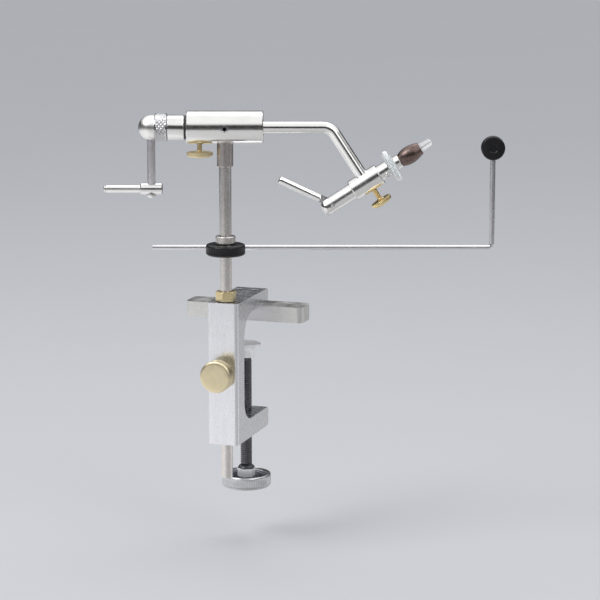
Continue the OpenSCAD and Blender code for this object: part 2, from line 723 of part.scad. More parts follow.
module lever_pin() color([0.75, 0.75, 0.76]) in_jaw() at_lever_pin()
  rod_y(lever_pin_d, -barrel_d / 2 + edge, barrel_d / 2 - edge);

// Eccentric cam, flat neck and round lever
module cam_lever() color([0.86, 0.86, 0.87]) in_jaw() at_lever_pin() difference() {
  rotate([0, -lever_lean, 0]) union() {
    rod_y(neck_w, -lever_t / 2, lever_t / 2);
    rotate([0, lever_lean - cam_phase, 0]) translate([cam_offset, 0, 0])
      rod_y(2 * cam_r, -lever_t / 2, lever_t / 2);
    translate([0, -lever_t / 2, -neck_w / 2]) cube([neck_l + over, lever_t, neck_w]);
    rotate([0, 90, 0]) rotate_extrude() polygon(concat(
      [[0, neck_l], [lever_d / 2 - edge, neck_l], [lever_d / 2, neck_l + edge]],
      arc_points(lever_d / 2 - 2 * edge, lever_l - 2 * edge, 2 * edge, 0, 90), [[0, lever_l]]));
  }
  rod_y(lever_pin_d + 2 * running, -lever_t, lever_t);
}

// The rod's cone spreads the jaws' tails and so closes their tips
module push_rod() color([0.7, 0.7, 0.72]) in_jaw() {
  rotate([0, 90, 0]) rotate_extrude() polygon([[0, push_rear], [push_d / 2, push_rear],
    [push_d / 2, push_collar_u], [push_collar_d / 2, push_collar_u],
    [push_collar_d / 2, push_collar_u + push_collar_l], [push_d / 2, push_collar_u + push_collar_l],
    [push_d / 2, cone_base_u], [cone_tip_r, cone_base_u + cone_l], [0, cone_base_u + cone_l]]);
}

module return_spring() color([0.6, 0.6, 0.62]) in_jaw() difference() {
  rod_x(push_collar_d, push_collar_u + push_collar_l + pass, barrel_front - spigot_l - pass);
  rod_x(push_d + 4 * running, push_collar_u, barrel_front);
}

// Dark nose on its neck
module jaw_nose() color([0.2, 0.16, 0.13]) in_jaw() difference() {
  union() {
    rod_x(chamber_d - 2 * running, barrel_front - spigot_l, nose_u);
    rod_x(neck_d, barrel_front, nose_u + over);
    rotate([0, 90, 0]) rotate_extrude() polygon(concat([[0, nose_u]],
      [for (i = [0:bulge_steps]) let (t = i / bulge_steps)
        [(nose_end_d + (nose_d - nose_end_d) * sin(180 * pow(t, bulge_share))) / 2, nose_u + nose_l * t]],
      [[0, nose_front]]));
  }
  rod_x(push_d + 2 * running, barrel_front - spigot_l - over, cavity_u + over);
  translate([cavity_u, -jaw_w / 2 - pass, -cavity_h / 2])
    cube([nose_l, jaw_w + 2 * pass, cavity_h]);
  translate([pivot_u, 0, 0]) rod_y(pivot_d + 2 * running, -nose_d, nose_d);
  translate([neck_screw_u, 0, 0]) rotate([neck_screw_turn, 0, 0])
    rod_z(neck_screw_d + 2 * running, 0, barrel_d);
}

module nose_collar() color([0.9, 0.9, 0.91]) in_jaw() difference() {
  broken_x(nose_collar_d, nose_collar_u, nose_collar_u + nose_collar_l, edge);
  rod_x(neck_d + 2 * running, nose_collar_u - over, nose_collar_u + nose_collar_l + over);
}

module barrel_screw() color([0.75, 0.72, 0.73]) in_jaw() translate([neck_screw_u, 0, 0])
  rotate([neck_screw_turn, 0, 0]) difference() {
    union() {
      rod_z(neck_screw_d, push_d / 2 + over, barrel_d / 2 + over / 2);
      broken_z(neck_screw_head_d, barrel_d / 2, barrel_d / 2 + neck_screw_head_h, neck_screw_head_h / 3);
    }
    translate([0, 0, barrel_d / 2 + neck_screw_head_h / 2])
      cylinder(d = neck_screw_d * 0.7, h = neck_screw_head_h, $fn = 6);
  }

// One jaw, above the parting plane. The lower one is its mirror image.
function jaw_outline() = [
  [tail_u, tail_in], [pivot_u - pivot_d / 2, tail_in], [pivot_u, tail_in],
  [pivot_u + pivot_d / 2 + 2 * running, slit / 2], [jaw_tip_u, slit / 2],
  [jaw_tip_u, jaw_h * 0.22], [jaw_tip_u - jaw_out * 0.07, jaw_h * 0.36],
  [jaw_tip_u - jaw_out * 0.2, jaw_h * 0.45], [nose_front, jaw_h / 2], [tail_u, jaw_h / 2]];

module jaw_half() difference() {
  intersection() {
    translate([0, jaw_w / 2, 0]) rotate([90, 0, 0])
      linear_extrude(height = jaw_w) polygon(jaw_outline());
    translate([0, 0, -jaw_h]) linear_extrude(height = 2 * jaw_h) polygon([
      [tail_u - over, -jaw_w / 2], [nose_front, -jaw_w / 2], [jaw_tip_u + over, -jaw_w * 0.32],
      [jaw_tip_u + over, jaw_w * 0.32], [nose_front, jaw_w / 2], [tail_u - over, jaw_w / 2]]);
  }
  translate([pivot_u, 0, 0]) rod_y(pivot_d + 2 * running, -jaw_w, jaw_w);
}
module upper_jaw() color([0.88, 0.88, 0.89]) in_jaw() jaw_half();
module lower_jaw() color([0.84, 0.84, 0.85]) in_jaw() mirror([0, 0, 1]) jaw_half();
module jaw_pivot_pin() color([0.6, 0.6, 0.6]) in_jaw() translate([pivot_u, 0, 0])
  rod_y(pivot_d, -nose_end_d / 2, nose_end_d / 2);

// Wheel with a groove for the ring spring
module clip_wheel() color([0.85, 0.9, 0.92]) in_jaw() translate([clip_u + clip_w / 2, 0, 0])
  rotate([0, 90, 0]) let (a = asin(wheel_rim_w / 2 / groove_r), floor_r = clip_r - groove_r) difference() {
    rotate_extrude() polygon(concat(
      [[neck_d / 2 + running, -clip_w / 2], [neck_d / 2 + 2 * edge, -clip_w / 2],
       [neck_d / 2 + 2 * edge, -wheel_web_w / 2], [floor_r - edge, -wheel_web_w / 2],
       [floor_r - edge, -wheel_rim_w / 2]],
      arc_points(clip_r, 0, groove_r, 180 + a, 180 - a),
      [[floor_r - edge, wheel_rim_w / 2], [floor_r - edge, wheel_web_w / 2],
       [neck_d / 2 + 2 * edge, wheel_web_w / 2], [neck_d / 2 + 2 * edge, clip_w / 2],
       [neck_d / 2 + running, clip_w / 2]]));
  }

// Ring spring: one wire wound round a ring and joined to itself
function clip_centre(t) = let (a = 360 * t, c = 360 * t * clip_curls, r = clip_r + coil_r * cos(c))
  [r * cos(a), r * sin(a), coil_r * sin(c)];
function unit(v) = v / norm(v);
clip_count = clip_curls * clip_rings;
clip_points = [for (i = [0:clip_count - 1])
  let (t = i / clip_count, p = clip_centre(t), a = 360 * t,
       along = unit(clip_centre(t + 1 / clip_count) - clip_centre(t - 1 / clip_count)),
       out = unit(p - [clip_r * cos(a), clip_r * sin(a), 0]),
       side = unit(cross(along, out)), up = cross(side, along))
  for (k = [0:clip_sides - 1]) let (b = 360 * k / clip_sides)
    p + clip_wire_d / 2 * (cos(b) * up + sin(b) * side)];
clip_faces = [for (i = [0:clip_count - 1], k = [0:clip_sides - 1])
  let (j = (i + 1) % clip_count, m = (k + 1) % clip_sides,
       a = i * clip_sides + k, b = i * clip_sides + m, c = j * clip_sides + m, d = j * clip_sides + k)
  each [[a, b, c], [a, c, d]]];
// Least gap between one curl and the next, centre to centre less the wire
clip_gap = min([for (i = [0:clip_rings - 1], j = [clip_rings / 2:2 * clip_rings])
  norm(clip_centre((i + j) / clip_count) - clip_centre(i / clip_count))]) - clip_wire_d;
echo(least_gap_between_the_clips_curls = clip_gap);

module material_clip() color([0.8, 0.93, 0.95]) in_jaw() translate([clip_u + clip_w / 2, 0, 0])
  rotate([0, 90, 0]) polyhedron(points = clip_points, faces = clip_faces);

// Bobbin cradle
module cradle_collar() color([0.85, 0.85, 0.86]) in_cradle() difference() {
  union() {
    rod_z(insert_d, hub_bottom + running, hub_top + over);
    broken_z(cradle_collar_d, hub_top + end_play, hub_top + end_play + cradle_collar_h, edge);
  }
  rod_z(stem_d + 2 * running, hub_bottom - over, hub_top + cradle_collar_h + over);
  translate([0, 0, hub_top + end_play + cradle_collar_h / 2]) rod_y(cradle_set_d, 0, cradle_collar_d);
}
module cradle_collar_screw() color([0.15, 0.15, 0.16]) in_cradle()
  translate([0, 0, hub_top + end_play + cradle_collar_h / 2])
    grub_screw(cradle_set_d, stem_d / 2 + 2 * running, cradle_collar_d / 2);

// Ring under the hub that keeps the hub on its collar
module cradle_ring() color([0.3, 0.3, 0.31]) in_cradle() difference() {
  rod_z(ring_recess_d - 4 * pass, hub_bottom + running, hub_bottom + ring_recess_h - end_play);
  rod_z(insert_d + 2 * running, hub_bottom - over, hub_bottom + 2 * ring_recess_h);
}

module cradle_hub() color([0.05, 0.05, 0.06]) in_cradle() difference() {
  rotate_extrude() polygon(concat(
    [[0, hub_bottom], [cradle_hub_d / 2 - 2 * edge, hub_bottom], [cradle_hub_d / 2, hub_bottom + 2 * edge]],
    [for (i = [0:arc_steps]) let (a = 90 * i / arc_steps, s = 3 * edge)
      [cradle_hub_d / 2 - s + s * cos(a), hub_top - s + s * sin(a)]],
    [[0, hub_top]]));
  rod_z(insert_d + 2 * running, hub_bottom - over, hub_top + over);
  rod_z(ring_recess_d, hub_bottom - over, hub_bottom + ring_recess_h);
  translate([0, rod_back, 0]) rod_x(rod_d + 2 * running, -cradle_hub_d, cradle_hub_d);
  rod_y(cradle_set_d, rod_back, cradle_hub_d);
}
module hub_lock_screw() color([0.15, 0.15, 0.16]) in_cradle()
  grub_screw(cradle_set_d, rod_back + rod_d / 2 + 2 * running, cradle_hub_d / 2);

module cradle_rod() color([0.82, 0.82, 0.83]) in_cradle() translate([0, rod_back, 0]) {
  rod_x(rod_d, -cradle_tail, cradle_reach - rod_bend);
  translate([cradle_reach - rod_bend, 0, rod_bend]) rotate([90, 0, 0]) rotate([0, 0, -90])
    rotate_extrude(angle = 90) translate([rod_bend, 0]) circle(d = rod_d);
  translate([cradle_reach, 0, 0]) rod_z(rod_d, rod_bend, rest_rise - end_play);
}

module bobbin_rest() color([0.05, 0.05, 0.06]) in_cradle()
  translate([cradle_reach, rod_back, rest_rise]) difference() {
    rotate([90, 0, 0]) rotate_extrude() polygon(concat(
      [[0, -rest_t / 2 + edge], [rest_hole / 2 - edge, -rest_t / 2 + edge], [rest_hole / 2, -rest_t / 2]],
      arc_points(rest_d / 2 - 2 * edge, -rest_t / 2 + 2 * edge, 2 * edge, 270, 360),
      [[rest_d / 2 - edge, -edge], [rest_d / 2 - edge, edge]],
      arc_points(rest_d / 2 - 2 * edge, rest_t / 2 - 2 * edge, 2 * edge, 0, 90),
      [[rest_hole / 2, rest_t / 2], [rest_hole / 2 - edge, rest_t / 2 - edge], [0, rest_t / 2 - edge]]));
    rod_z(rod_d + 2 * running, -rest_d, 0);
  }

clamp_frame();
crossbar();
crossbar_screws();
stop_washer();
clamp_pad();
clamp_screw();
clamp_knob();
knob_nut();
stem_lock_tip();
stem_lock_knob();
stem_stop_collar();
stop_collar_screw();
stem();
stem_sleeve();
head_tube();
front_bush();
rear_bush();
retaining_screw();
drag_tip();
drag_thumbscrew();
arm();
thrust_washer();
shaft_collar();
shaft_collar_screw();
tension_ring();
crank_hub();
crank_arm();
crank_cross_hub();
crank_end_screw();
grip_pin();
crank_grip();
jaw_housing();
jaw_lock_tip();
jaw_lock_screw();
jaw_barrel();
barrel_screw();
nose_collar();
jaw_nose();
upper_jaw();
lower_jaw();
jaw_pivot_pin();
push_rod();
return_spring();
cam_lever();
lever_pin();
clip_wheel();
material_clip();
cradle_collar();
cradle_collar_screw();
cradle_ring();
cradle_hub();
hub_lock_screw();
cradle_rod();
bobbin_rest();
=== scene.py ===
"""Looks of the rotary fly tying vise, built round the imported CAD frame.

Places and sizes are in millimetres, as in the part's source, and MM turns them into metres. The floor's
reach, the lamps and the camera are in metres.
"""

import math

import bmesh
import bpy
from mathutils import Matrix, Vector


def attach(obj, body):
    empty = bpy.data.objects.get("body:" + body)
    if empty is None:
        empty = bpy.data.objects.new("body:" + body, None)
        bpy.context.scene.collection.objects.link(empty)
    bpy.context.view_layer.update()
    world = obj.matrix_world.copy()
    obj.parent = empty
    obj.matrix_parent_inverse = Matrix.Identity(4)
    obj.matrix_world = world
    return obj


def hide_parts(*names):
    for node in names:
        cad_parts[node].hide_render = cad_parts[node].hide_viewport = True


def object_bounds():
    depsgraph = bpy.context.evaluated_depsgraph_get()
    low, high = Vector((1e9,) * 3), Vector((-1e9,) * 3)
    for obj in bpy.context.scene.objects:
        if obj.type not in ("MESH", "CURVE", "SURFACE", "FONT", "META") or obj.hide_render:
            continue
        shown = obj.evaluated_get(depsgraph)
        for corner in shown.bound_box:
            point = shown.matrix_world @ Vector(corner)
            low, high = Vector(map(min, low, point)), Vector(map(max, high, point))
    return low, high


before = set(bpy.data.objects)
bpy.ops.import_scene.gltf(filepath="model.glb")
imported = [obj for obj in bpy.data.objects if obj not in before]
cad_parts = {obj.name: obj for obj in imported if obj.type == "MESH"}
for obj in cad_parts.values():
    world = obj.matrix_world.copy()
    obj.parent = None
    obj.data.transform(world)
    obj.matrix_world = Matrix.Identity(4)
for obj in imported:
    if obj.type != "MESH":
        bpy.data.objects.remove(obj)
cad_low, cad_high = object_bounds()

MM = 0.001
TURN = 2 * math.pi

# Places of the part's source
STEM_Y = -52.5
SCREW_SETBACK = 47
HEAD_Z = 160.8
HEAD_L = 59.8
HEAD_TURN = math.radians(18)
JAW_RISE = math.radians(33)
ARM_X, ARM_DROP = 82.4, 51.6
LOCK_DROP = 33.2
DRAG_X = 19.8
JAW_SCREW_U = 2
CRADLE_Z = 64.5
END_PLAY = 0.1
KNOB_TOP, KNOB_T, DISH = -128.6, 10.4, 2.5
KNOB_LOW = KNOB_TOP - KNOB_T


def place(origin, x, y, z):
    """A frame as a matrix: columns x, y, z and an origin in millimetres."""
    m = Matrix((x, y, z)).transposed().to_4x4()
    m.translation = Vector(origin) * MM
    return m


X, Y, Z = Vector((1, 0, 0)), Vector((0, 1, 0)), Vector((0, 0, 1))
HEAD_X = Vector((math.cos(HEAD_TURN), math.sin(HEAD_TURN), 0))
HEAD_Y = Vector((-math.sin(HEAD_TURN), math.cos(HEAD_TURN), 0))
HEAD_O = Vector((0, STEM_Y, HEAD_Z))
JAW_O = HEAD_O + HEAD_X * (ARM_X + ARM_DROP * math.sin(JAW_RISE)) - Z * ARM_DROP * math.cos(JAW_RISE)
JAW_U = HEAD_X * math.cos(JAW_RISE) + Z * math.sin(JAW_RISE)
JAW_V = -HEAD_X * math.sin(JAW_RISE) + Z * math.cos(JAW_RISE)

PART = Matrix.Identity(4)
POST = place((0, STEM_Y, 0), X, Y, Z)
SCREW = place((0, STEM_Y + SCREW_SETBACK, 0), X, Y, Z)
HEAD = place(HEAD_O, HEAD_X, HEAD_Y, Z)
JAW = place(JAW_O, JAW_U, HEAD_Y, JAW_V)
CRADLE = place((0, STEM_Y, CRADLE_Z), HEAD_X, HEAD_Y, Z)
# Frames whose z axis is a turned part's axis
HEAD_AXIS = place(HEAD_O, HEAD_Y, Z, HEAD_X)
JAW_AXIS = place(JAW_O, HEAD_Y, JAW_V, JAW_U)
LOCK_AXIS = place((0, STEM_Y, -LOCK_DROP), X, -Z, Y)
RETAINER = place(HEAD_O, HEAD_X, Z, -HEAD_Y)
DRAG_AXIS = HEAD @ Matrix.Translation((-DRAG_X * MM, 0, 0))
JAW_SCREW_AXIS = JAW @ Matrix.Translation((JAW_SCREW_U * MM, 0, 0))


# Materials

# Stretches of a noise's value that a ramp spreads over its whole output
EVEN, WIDE, SMEARS, FLOWS = (0.3, 0.7), (0.35, 0.7), (0.4, 0.75), (0.4, 0.7)
# Frequencies of noises that are the same all ways, per metre
SMEAR, SPECK, FLOW, GRAIN, PAPER = ((f, f, f) for f in (70, 1500, 55, 900, 3))
# Depths of bumps, in metres
MARK_DEPTH, SPECK_DEPTH, GRAIN_DEPTH = 0.00002, 0.00004, 0.00003
# Half widths of a mask's soft edges, such as an area painted dark, and a lowest height that leaves nothing
# out, in metres
SOFT_RADIUS, SOFT_HEIGHT = 0.15 * MM, 0.05 * MM
ALL_HEIGHTS = -1.0


class Nodes:
    """Short calls for building one material's nodes."""

    def __init__(self, name):
        self.material = bpy.data.materials.new(name)
        self.material.use_nodes = True
        self.tree = self.material.node_tree
        self.shader = self.tree.nodes["Principled BSDF"]

    def add(self, kind, **values):
        node = self.tree.nodes.new(kind)
        for key, value in values.items():
            setattr(node, key, value)
        return node

    def link(self, a, b):
        self.tree.links.new(a, b)

    def coords(self, where, stretch):
        """Object coordinates in a frame, stretched by a frequency along each of its axes."""
        source = self.add("ShaderNodeTexCoord")
        mapping = self.add("ShaderNodeMapping", vector_type="TEXTURE")
        mapping.inputs["Location"].default_value = where.translation
        mapping.inputs["Rotation"].default_value = where.to_euler()
        mapping.inputs["Scale"].default_value = [1 / s for s in stretch]
        self.link(source.outputs["Object"], mapping.inputs["Vector"])
        return mapping.outputs["Vector"]

    def noise(self, vector, detail=3.0, rough=0.55):
        node = self.add("ShaderNodeTexNoise")
        node.inputs["Scale"].default_value = 1.0
        node.inputs["Detail"].default_value = detail
        node.inputs["Roughness"].default_value = rough
        self.link(vector, node.inputs["Vector"])
        return node.outputs["Fac"]

    def ramp(self, value, stretch, low=0.0, high=1.0):
        """Spreads a stretch of a value over the range from low to high."""
        node = self.add("ShaderNodeMapRange")
        limits = {"From Min": stretch[0], "From Max": stretch[1], "To Min": low, "To Max": high}
        for key, number in limits.items():
            node.inputs[key].default_value = number
        self.link(value, node.inputs["Value"])
        return node.outputs["Result"]

    def maths(self, operation, a, b):
        node = self.add("ShaderNodeMath", operation=operation)
        self.link(a, node.inputs[0])
        self.link(b, node.inputs[1])
        return node.outputs[0]

    def mix(self, factor, a, b):
        node = self.add("ShaderNodeMix", data_type="RGBA")
        for socket, value in ((node.inputs[6], a), (node.inputs[7], b)):
            if hasattr(value, "default_value"):
                self.link(value, socket)
            else:
                socket.default_value = (*value, 1)
        self.link(factor, node.inputs[0])
        return node.outputs[2]

    def bump(self, height, distance, strength, below=None):
        node = self.add("ShaderNodeBump")
        node.inputs["Distance"].default_value = distance
        node.inputs["Strength"].default_value = strength
        self.link(height, node.inputs["Height"])
        if below is not None:
            self.link(below, node.inputs["Normal"])
        return node.outputs["Normal"]

    def within(self, where, radius, low=ALL_HEIGHTS):
        """1 nearer to the frame's z axis than a radius and above a height, both in metres, else 0."""
        split = self.add("ShaderNodeSeparateXYZ")
        flat = self.add("ShaderNodeCombineXYZ")
        self.link(self.coords(where, (1, 1, 1)), split.inputs[0])
        self.link(split.outputs["X"], flat.inputs["X"])
        self.link(split.outputs["Y"], flat.inputs["Y"])
        length = self.add("ShaderNodeVectorMath", operation="LENGTH")
        self.link(flat.outputs[0], length.inputs[0])
        near = self.ramp(length.outputs["Value"], (radius - SOFT_RADIUS, radius + SOFT_RADIUS), 1.0, 0.0)
        above = self.ramp(split.outputs["Z"], (low - SOFT_HEIGHT, low + SOFT_HEIGHT))
        return self.maths("MULTIPLY", near, above)

    def finish(self, colour, roughness, normal, metallic, specular=0.5):
        s = self.shader
        self.link(colour, s.inputs["Base Color"])
        self.link(roughness, s.inputs["Roughness"])
        self.link(normal, s.inputs["Normal"])
        s.inputs["Metallic"].default_value = metallic
        s.inputs["Specular IOR Level"].default_value = specular
        return self.material


def metal(name, where, colour, rough, marks, dark=0.9, bump=0.3, spread=0.04, blotch=0.03, grains=0.0,
          metallic=1.0, painted_dark=None):
    """A worked metal: tool marks along the frame's axes, faint smears, and a little grain.

    marks are frequencies per metre along the axes, and dark is the marks' share of the colour. spread and
    blotch are how far marks and smears change the roughness. The last argument is an area painted dark to
    stand for shade and dark reflections: a frame, a radius, a lowest height and a colour.
    """
    lighter = 1.04
    n = Nodes(name)
    lines = n.noise(n.coords(where, marks), detail=4.0, rough=0.6)
    smear = n.noise(n.coords(where, SMEAR), detail=4.0, rough=0.65)
    shade = n.mix(n.ramp(lines, EVEN), [c * dark for c in colour], colour)
    tint = n.mix(n.ramp(smear, WIDE), shade, [min(1, c * lighter) for c in colour])
    marked = n.ramp(lines, EVEN, rough - spread, rough + spread)
    roughness = n.maths("ADD", marked, n.ramp(smear, SMEARS, -blotch, blotch))
    normal = n.bump(lines, MARK_DEPTH, bump)
    if grains:
        speck = n.noise(n.coords(where, SPECK), detail=2.0)
        normal = n.bump(speck, SPECK_DEPTH, grains, normal)
    # Paints the dark area over the colour, standing for shade and dark reflections
    if painted_dark:
        tint = n.mix(n.within(*painted_dark[:3]), tint, painted_dark[3])
    return n.finish(tint, roughness, normal, metallic)


def moulded(name, colour, rough, specular=0.5):
    """Moulded plastic: fine grain, flow shades and slightly worn gloss."""
    lighter, least, spread, shiny, dull, bump = 1.35, 0.004, 0.05, -0.04, 0.05, 0.15
    n = Nodes(name)
    fine = n.noise(n.coords(PART, GRAIN))
    flow = n.noise(n.coords(PART, FLOW))
    tint = n.mix(n.ramp(flow, WIDE), colour, [min(1, c * lighter + least) for c in colour])
    grained = n.ramp(fine, EVEN, rough - spread, rough + spread)
    roughness = n.maths("ADD", grained, n.ramp(flow, FLOWS, shiny, dull))
    return n.finish(tint, roughness, n.bump(fine, GRAIN_DEPTH, bump), metallic=0.0, specular=specular)


# Tool marks: turned parts have them across the axis, drawn bars along it, and blasted parts all ways
TURNED, DRAWN = (40, 40, 2400), (2400, 2400, 30)
BLASTED, FINE, WORN, COARSE = ((f, f, f) for f in (900, 800, 300, 260))
WHITE = (0.88, 0.875, 0.865)
# Areas painted dark: a painted dark reflection in the knob's dish and on the nut's top, and painted shade in
# the retaining screw's socket
DISH_PAINTED_REFLECTION = (SCREW, 17.9 * MM, -131.2 * MM, (0.022, 0.028, 0.05))
NUT_PAINTED_REFLECTION = (SCREW, 30 * MM, -124.4 * MM, (0.06, 0.06, 0.075))
SOCKET_PAINTED_SHADE = (RETAINER, 1.5 * MM, ALL_HEIGHTS, (0.03, 0.03, 0.035))

M = {
    "clamp": metal("clamp_aluminium", POST, (0.82, 0.825, 0.865), 0.28, (500, 500, 40),
                   dark=0.94, bump=0.1, grains=0.12),
    "bar": metal("bar_aluminium", PART, (0.80, 0.795, 0.785), 0.36, (60, 1400, 1400),
                 dark=0.82, blotch=0.08, grains=0.25),
    "polished_head": metal("polished_head", HEAD_AXIS, WHITE, 0.20, TURNED, dark=0.965, bump=0.08),
    "polished_jaw": metal("polished_jaw", JAW_AXIS, WHITE, 0.24, TURNED, dark=0.965, bump=0.08),
    "polished_arm": metal("polished_arm", HEAD_AXIS, WHITE, 0.17, DRAWN, dark=0.97, bump=0.05, spread=0.03),
    "hub": metal("hub_steel", HEAD_AXIS, WHITE, 0.36, TURNED, dark=0.94, bump=0.1),
    "sleeve": metal("sleeve_steel", POST, (0.64, 0.60, 0.58), 0.34, (1200, 1200, 500), dark=0.70, bump=0.5),
    # The button screw's socket gets painted shade
    "button": metal("button_screw", HEAD_AXIS, (0.92, 0.92, 0.92), 0.16, TURNED, bump=0.1, painted_dark=SOCKET_PAINTED_SHADE),
    "stem": metal("stem_steel", POST, (0.76, 0.735, 0.715), 0.27, (900, 900, 25), dark=0.76, bump=0.25),
    "crank": metal("crank_steel", POST, (0.80, 0.775, 0.80), 0.24, (800, 800, 30),
                   dark=0.84, bump=0.15, metallic=0.74),
    "steel_head": metal("steel_head", HEAD_AXIS, (0.84, 0.835, 0.83), 0.22, TURNED, dark=0.94, bump=0.12),
    "jaws": metal("jaw_steel", JAW_AXIS, (0.93, 0.93, 0.93), 0.24, (300, 1800, 300),
                  dark=0.92, bump=0.15, metallic=0.15),
    "steel_jaw": metal("steel_jaw", JAW_AXIS, (0.86, 0.86, 0.86), 0.20, TURNED, dark=0.94, bump=0.12),
    "lever": metal("lever_steel", JAW_AXIS, (0.86, 0.86, 0.86), 0.18, WORN, dark=0.95, bump=0.06),
    "ring": metal("knurled_steel", HEAD_AXIS, (0.58, 0.58, 0.60), 0.20, TURNED, bump=0.2),
    # The knob's dish gets a painted dark reflection
    "knob": metal("knob_aluminium", SCREW, (0.60, 0.61, 0.63), 0.30, TURNED, dark=0.88, painted_dark=DISH_PAINTED_REFLECTION),
    # The nut's top gets a painted dark reflection
    "nut": metal("nut_steel", SCREW, (0.90, 0.90, 0.91), 0.16, TURNED,
                 dark=0.92, bump=0.1, metallic=0.4, painted_dark=NUT_PAINTED_REFLECTION),
    "pad": metal("pad_aluminium", SCREW, (0.86, 0.86, 0.87), 0.36, TURNED, dark=0.93, bump=0.2, metallic=0.5),
    "brass": metal("brass_face", LOCK_AXIS, (0.86, 0.76, 0.52), 0.46, COARSE,
                   dark=0.80, bump=0.2, blotch=0.08, grains=0.2),
    "brass_hex": metal("brass_hexagon", POST, (0.88, 0.74, 0.44), 0.30, TURNED, dark=0.88, bump=0.2),
    "brass_head": metal("brass_drag_screw", HEAD, (0.84, 0.72, 0.46), 0.42, TURNED, dark=0.88, bump=0.2),
    "brass_jaw": metal("brass_jaw_screw", JAW, (0.90, 0.72, 0.38), 0.30, TURNED, dark=0.88, bump=0.2),
    "bronze": metal("bronze_bush", HEAD_AXIS, (0.62, 0.42, 0.22), 0.35, TURNED,
                    dark=0.85, bump=0.2, grains=0.4),
    "black_screw": metal("blackened_steel", SCREW, (0.17, 0.165, 0.185), 0.28, BLASTED, dark=0.7, bump=0.2),
    "bar_screws": metal("bar_screw_steel", POST, (0.34, 0.34, 0.35), 0.34, BLASTED, dark=0.85, bump=0.2),
    "socket": metal("blackened_socket_screws", POST, (0.07, 0.07, 0.075), 0.38, BLASTED, dark=0.7, bump=0.2),
    "nose": metal("dark_nose", JAW_AXIS, (0.225, 0.165, 0.15), 0.37, (400, 400, 900), dark=0.42),
    "clip": metal("clip_spring", JAW_AXIS, (0.92, 0.955, 0.955), 0.28, FINE, bump=0.1, metallic=0.5),
    "wheel": moulded("clip_wheel_plastic", (0.74, 0.80, 0.81), 0.35),
    "nylon": moulded("nylon_tips", (0.80, 0.77, 0.68), 0.45),
    "black": moulded("black_plastic", (0.006, 0.006, 0.008), 0.30, specular=0.35),
    "rod": metal("cradle_steel", CRADLE, (0.74, 0.74, 0.78), 0.26, (60, 900, 900), dark=0.93, bump=0.12),
    "washer": moulded("black_washers", (0.02, 0.02, 0.022), 0.45),
}


# Mesh helpers

TINY = 1e-6
MERGE, THREAD_MERGE = 1e-7, 2e-6


def rounded(profile, radius=0.35, steps=3):
    """Rounds the corners of an open outline of (radius, height) points."""
    straight, share = math.radians(165), 0.45
    out = [profile[0]]
    for before, corner, after in zip(profile, profile[1:], profile[2:]):
        a, c, b = Vector(before), Vector(corner), Vector(after)
        va, vb = a - c, b - c
        if va.length < TINY or vb.length < TINY or va.angle(vb) > straight:
            out.append(corner)
            continue
        cut = min(radius, va.length * share, vb.length * share)
        p, q = c + va.normalized() * cut, c + vb.normalized() * cut
        for i in range(steps + 1):
            t = i / steps
            out.append(tuple((1 - t) ** 2 * p + 2 * t * (1 - t) * c + t * t * q))
    out.append(profile[-1])
    return out


def lathe(bm, profile, where, sides, shape=None):
    """Turns an outline round the frame's z axis. shape(angle, radius, height) may change a radius."""
    rings = []
    for r, h in profile:
        if r < TINY:
            rings.append([bm.verts.new(where @ Vector((0, 0, h * MM)))])
            continue
        ring = []
        for i in range(sides):
            a = TURN * i / sides
            rr = shape(a, r, h) if shape else r
            ring.append(bm.verts.new(where @ Vector((rr * MM * math.cos(a), rr * MM * math.sin(a), h * MM))))
        rings.append(ring)
    for low, high in zip(rings, rings[1:]):
        for i in range(sides):
            j = (i + 1) % sides
            face = [low[i % len(low)], low[j % len(low)], high[j % len(high)], high[i % len(high)]]
            corners = list(dict.fromkeys(face))
            if len(corners) > 2:
                bm.faces.new(corners)


def solid_rod(bm, where, profile, sides):
    """A turned solid whose outline is closed to the axis at both ends."""
    lathe(bm, rounded([(0, profile[0][1])] + profile + [(0, profile[-1][1])]), where, sides)


def wire_ring(bm, where, centre, radius, one, two, sides):
    """Vertices round a point of a wire, in the plane of two directions."""
    ring = []
    for k in range(sides):
        a = TURN * k / sides
        ring.append(bm.verts.new(where @ ((centre + radius * (math.cos(a) * one + math.sin(a) * two)) * MM)))
    return ring


def skin(bm, rings):
    """Joins each ring of vertices to the next one."""
    sides = len(rings[0])
    for one, two in zip(rings, rings[1:]):
        for k in range(sides):
            m = (k + 1) % sides
            bm.faces.new((one[k], one[m], two[m], two[k]))


def finish_piece(name, bm, material, body, nodes, sharp):
    """Makes the object, shades it smooth between its sharp edges, and ties it to its body."""
    bmesh.ops.remove_doubles(bm, verts=bm.verts, dist=MERGE)
    bmesh.ops.dissolve_degenerate(bm, edges=bm.edges, dist=MERGE)
    bmesh.ops.recalc_face_normals(bm, faces=bm.faces)
    mesh = bpy.data.meshes.new(name)
    bm.to_mesh(mesh)
    bm.free()
    mesh.materials.append(material)
    mesh.shade_smooth()
    mesh.set_sharp_from_angle(angle=math.radians(sharp))
    piece = bpy.data.objects.new(name, mesh)
    bpy.context.scene.collection.objects.link(piece)
    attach(piece, body)
    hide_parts(*nodes)


def fading(h, low, high, fade):
    """1 between two heights and 0 outside them, with a ramp at both ends."""
    return max(0.0, min(1.0, (h - low) / fade, (high - h) / fade))


def straight_knurl(count, depth, low, high, fade):
    """Ridges along the axis between two heights."""
    def shape(a, r, h):
        return r - depth * fading(h, low, high, fade) * (0.5 - 0.5 * math.cos(count * a))
    return shape


def diamond_knurl(count, depth, low, high, pitch, fade):
    """Crossed ridges between two heights."""
    def shape(a, r, h):
        turn = TURN * (h - low) / pitch
        one, two = abs(math.sin((count * a + turn) / 2)), abs(math.sin((count * a - turn) / 2))
        return r - depth * fading(h, low, high, fade) * (1 - min(one, two))
    return shape


